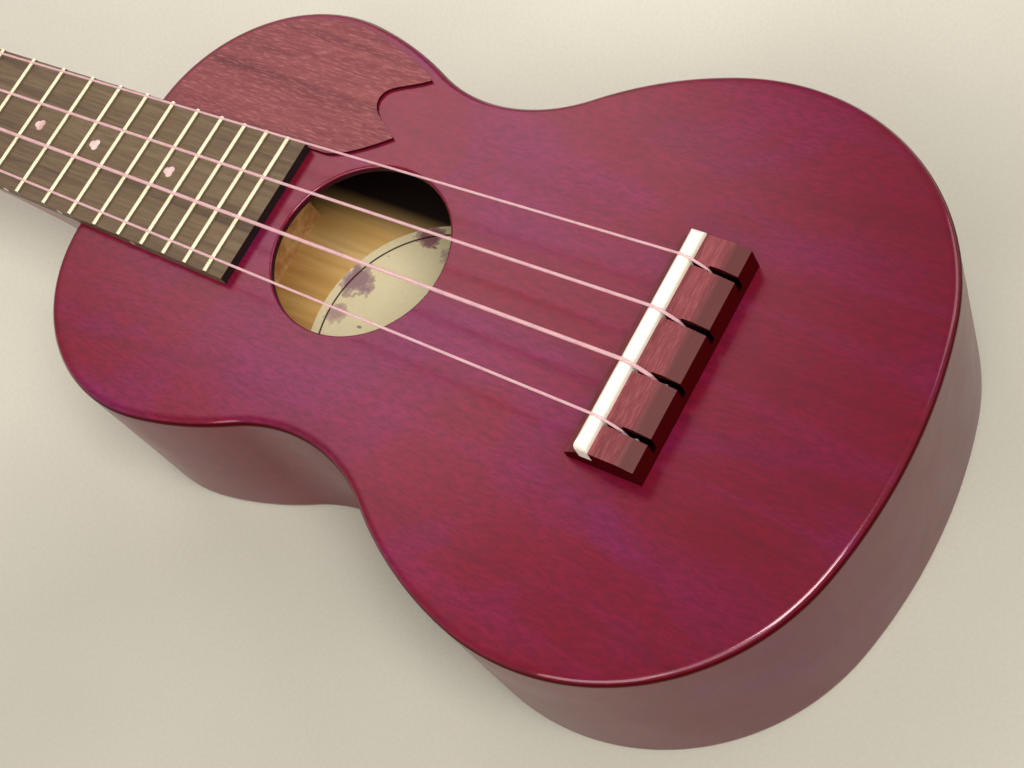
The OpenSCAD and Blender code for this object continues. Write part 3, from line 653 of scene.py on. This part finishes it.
# ---- Strings and windings ----
STRING_D = [0.72, 1.02, 0.84, 0.66]
SADDLE_SPREAD, NUT_SPREAD = 43.2, 27.8
SADDLE_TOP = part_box("saddle")[1].z / MM
# The nut's slots hold the strings a little above the frets
FRET_H, NUT_LIFT = 0.95, 0.15
NUT_SLOT_Z = BOARD_Z + FRET_H + NUT_LIFT
# (y, z) of the bends behind the saddle, down to the knot in the bridge's slot
STRING_DIP = (-4.9, BODY_H + 7.6)
STRING_DIVE = (-6.0, BODY_H + 4.0)
KNOT = (-7.9, BODY_H + 3.9)
KNOT_R = 0.62
# (y, z) from the saddle's line and top, where the string comes on to the saddle and leaves it
SADDLE_BACK, SADDLE_FRONT = (-0.8, -0.45), (1.0, 0.05)
# (y, z) from the nut's front and slot, on the nut and past its back
NUT_ON, NUT_OFF = (2.5, 0.0), (5.6, -0.69)
POST_GAP = 0.22
BEND_REACH, BEND_STEPS = 0.8, 4
POST_X, POST_V, POST_R = 16.5, (34, 74), 2.75
WINDING_W = 2.4
WINDING_TURNS = 4


def string_sides(i):
    """(side of the headstock, distance along it) of string i's post."""
    return (-1 if i < 2 else 1), POST_V[1 if i in (1, 2) else 0]


def rounded_route(points, reach):
    """The route with each corner replaced by a short curve."""
    route = [points[0]]
    for before, here, after in zip(points, points[1:], points[2:]):
        a = here + (before - here).normalized() * min(reach, (before - here).length / 2.5)
        b = here + (after - here).normalized() * min(reach, (after - here).length / 2.5)
        for k in range(BEND_STEPS + 1):
            t = k / BEND_STEPS
            route.append(a * (1 - t) ** 2 + here * 2 * t * (1 - t) + b * t * t)
    return route + [points[-1]]


def tube_rings(route, radius, sides, up=Vector((0, 0, 1))):
    rings = []
    for k, p in enumerate(route):
        along = (route[min(k + 1, len(route) - 1)] - route[max(k - 1, 0)]).normalized()
        across = along.cross(up).normalized()
        over = across.cross(along)
        angles = [math.tau * j / sides for j in range(sides)]
        rings.append([p + (across * math.cos(a) + over * math.sin(a)) * radius for a in angles])
    return rings


def add_ball(bm, centre, radius, squash):
    ball = bmesh.ops.create_uvsphere(bm, u_segments=16, v_segments=10, radius=radius)
    for vert in ball["verts"]:
        vert.co = centre + Vector(c * k for c, k in zip(vert.co, squash))


def make_string(i):
    """One string, from its knot in the bridge to the side of its post."""
    r = STRING_D[i] / 2
    side, v = string_sides(i)
    saddle_x, nut_x = (i / 3 - 0.5) * SADDLE_SPREAD, (i / 3 - 0.5) * NUT_SPREAD
    points = [at(saddle_x, KNOT[0], KNOT[1]), at(saddle_x, STRING_DIVE[0], STRING_DIVE[1]),
              at(saddle_x, STRING_DIP[0], STRING_DIP[1])]
    points += [at(saddle_x, y, SADDLE_TOP + r + z) for y, z in (SADDLE_BACK, SADDLE_FRONT)]
    points += [at(nut_x, SCALE + y, NUT_SLOT_Z + r + z) for y, z in (NUT_ON, NUT_OFF)]
    points += [on_head(side * (POST_X - POST_R - r - POST_GAP), v, WINDING_W + r * 0.4)]
    bm = bmesh.new()
    add_rings(bm, tube_rings(rounded_route(points, BEND_REACH * MM), r * MM, 12))
    add_ball(bm, points[0], KNOT_R * MM, (1, 1.15, 1))
    node = f"string_{STRINGS[i]}"
    piece(node + "_line", finished(bm, node + "_line"), ["nylon"], replaces=[node])


def make_winding(i):
    """The string's turns on its post, as one coil."""
    r = STRING_D[i] / 2
    side, v = string_sides(i)
    steps = 24
    coil = []
    for k in range(WINDING_TURNS * steps + 1):
        a = math.pi * (0 if side < 0 else 1) + side * math.tau * k / steps
        w = WINDING_W + r + 2 * r * (WINDING_TURNS - 1) * k / (WINDING_TURNS * steps)
        across, ahead = (POST_R + r) * math.cos(a), (POST_R + r) * math.sin(a)
        coil.append(on_head(side * POST_X + across, v + ahead, w))
    out = on_head(0, 0, 1) - on_head(0, 0, 0)
    bm = bmesh.new()
    add_rings(bm, tube_rings(coil, r * MM, 10, up=out))
    s = STRINGS[i]
    piece(f"winding_{s}_coil", finished(bm, f"winding_{s}_coil"), ["nylon"], body=f"post_{s}",
          replaces=[f"winding_{s}"])


# ---- Dressing for the CAD nodes that keep their shape ----
# The faces of one plane are joined before its edges, sharper than the second angle, are rounded
FLAT_ANGLE, EDGE_ANGLE = math.radians(0.6), math.radians(35)


def dress(node, key, bevel=0.0, segments=2):
    """A material, and small rounded edges by modifiers, on a CAD node's own object."""
    obj = NODES[node]
    obj.data.materials.clear()
    obj.data.materials.append(MATERIALS[key])
    if bevel:
        flat = obj.modifiers.new("flat", "DECIMATE")
        flat.decimate_type = "DISSOLVE"
        flat.angle_limit = FLAT_ANGLE
        edge = obj.modifiers.new("edge", "BEVEL")
        edge.width = bevel * MM
        edge.segments = segments
        edge.limit_method = "ANGLE"
        edge.angle_limit = EDGE_ANGLE
        edge.harden_normals = True


def dress_nodes():
    for node in ("top_lining", "back_lining"):
        dress(node, "shaded_raw_side")
    for node in ("neck_block", "tail_block"):
        dress(node, "end")
    for node in ("upper_brace", "lower_brace", "back_braces", "bridge_plate"):
        dress(node, "raw_cross", 0.4)
    dress("fan_braces", "raw", 0.4)
    dress("label", "label")
    dress("neck", "stain_neck")
    dress("heel_cap", "dark")
    dress("headstock_veneer", "dark", 0.3)
    dress("fretboard", "board")
    dress("frets", "fret")
    dress("position_markers", "marker")
    dress("side_dots", "marker")
    dress("nut", "ivory", 0.25)
    dress("bridge", "bridge", 0.2)
    dress("saddle", "ivory", 0.7, 3)
    dress("pickguard", "guard", 0.25)
    dress("tuner_bushings", "chrome", 0.15)
    dress("tuner_screws", "chrome", 0.12)
    for s in STRINGS:
        dress(f"tuner_plate_{s}", "chrome", 0.15)
        dress(f"tuner_post_{s}", "chrome", 0.2)
        dress(f"tuner_gear_{s}", "brass", 0.12)
        dress(f"gear_screw_{s}", "chrome", 0.15)
        dress(f"worm_shaft_{s}", "chrome")
        dress(f"tuner_button_{s}", "pearl", 0.9, 4)


# ---- Floor and light ----
FLOOR_HALF = 3.0
FLOOR_DROP = 0.0002
# The floor is painted darker from the far right to the near left, across this stretch of x + y,
# as painted light and shade
FLOOR_SHADE_AT, FLOOR_SHADE_SPAN = 0.16, 0.18


def make_floor():
    s = Shader("floor", roughness=0.6, specular=0.3)
    mottled = s.noise(s.place, 9, 4, 0.5)
    # Painted light and shade: the near floor darker, the far floor lighter
    near = s.stops(mottled, (0.35, srgb(176, 171, 155)), (0.65, srgb(182, 177, 161)))
    far = s.stops(mottled, (0.35, srgb(212, 206, 188)), (0.65, srgb(218, 212, 194)))
    across = s.math("ADD", s.axis("X"), s.axis("Y"))
    place = s.math("DIVIDE", s.math("ADD", across, FLOOR_SHADE_AT), FLOOR_SHADE_SPAN, clamp=True)
    grit = s.grey(s.noise(s.place, 900, 4, 0.7), (0.35, 0.10), (0.65, 0.0))
    s.feed("Base Color", s.mix(grit, s.mix(place, near, far), srgb(120, 114, 104)))
    bm = bmesh.new()
    bmesh.ops.create_grid(bm, x_segments=2, y_segments=2, size=FLOOR_HALF)
    mesh = bpy.data.meshes.new("floor")
    bm.to_mesh(mesh)
    bm.free()
    mesh.materials.append(s.material)
    floor = bpy.data.objects.new("floor", mesh)
    floor.location = (0, 0, -FLOOR_DROP)
    bpy.context.scene.collection.objects.link(floor)


WORLD_COLOUR, WORLD_STRENGTH = (1.0, 0.97, 0.93, 1), 0.30
# Area lights: name, position, size, power and colour
WHITE = (1, 1, 1)
LIGHTS = [("window", (-0.13, -0.94, 1.5), (0.58, 0.80), 21, WHITE),
          ("soft", (-0.80, -0.95, 1.5), (1.2, 1.2), 9, WHITE),
          ("left", (-1.75, -0.3, 1.4), (1.2, 1.2), 14, WHITE),
          ("right", (1.6, -1.2, 1.4), (1.2, 1.2), 8, WHITE),
          ("wall", (1.5, 1.9, 0.6), (2.2, 0.9), 4, WHITE),
          ("haze", (0.84, 1.22, 1.9), (1.0, 1.0), 9.4, (1.0, 0.86, 0.92))]
LIT_Y = 60


def area_light(name, position, target, size, power, colour):
    data = bpy.data.lights.new(name, "AREA")
    data.shape = "RECTANGLE"
    data.size, data.size_y = size
    data.energy = power
    data.color = colour
    light = bpy.data.objects.new(name, data)
    light.location = position
    light.rotation_euler = (Vector(target) - Vector(position)).to_track_quat("-Z", "Y").to_euler()
    bpy.context.scene.collection.objects.link(light)


def make_light():
    world = bpy.data.worlds.new("studio")
    world.use_nodes = True
    background = world.node_tree.nodes["Background"]
    background.inputs["Color"].default_value = WORLD_COLOUR
    background.inputs["Strength"].default_value = WORLD_STRENGTH
    bpy.context.scene.world = world
    for name, position, size, power, colour in LIGHTS:
        area_light(name, position, at(0, LIT_Y, 0), size, power, colour)


make_camera()
make_soundboard()
make_back()
make_side(1, "side_treble")
make_side(-1, "side_bass")
dress_nodes()
for number in range(4):
    make_string(number)
    make_winding(number)
make_floor()
make_light()
bpy.context.scene.view_settings.view_transform = "Standard"
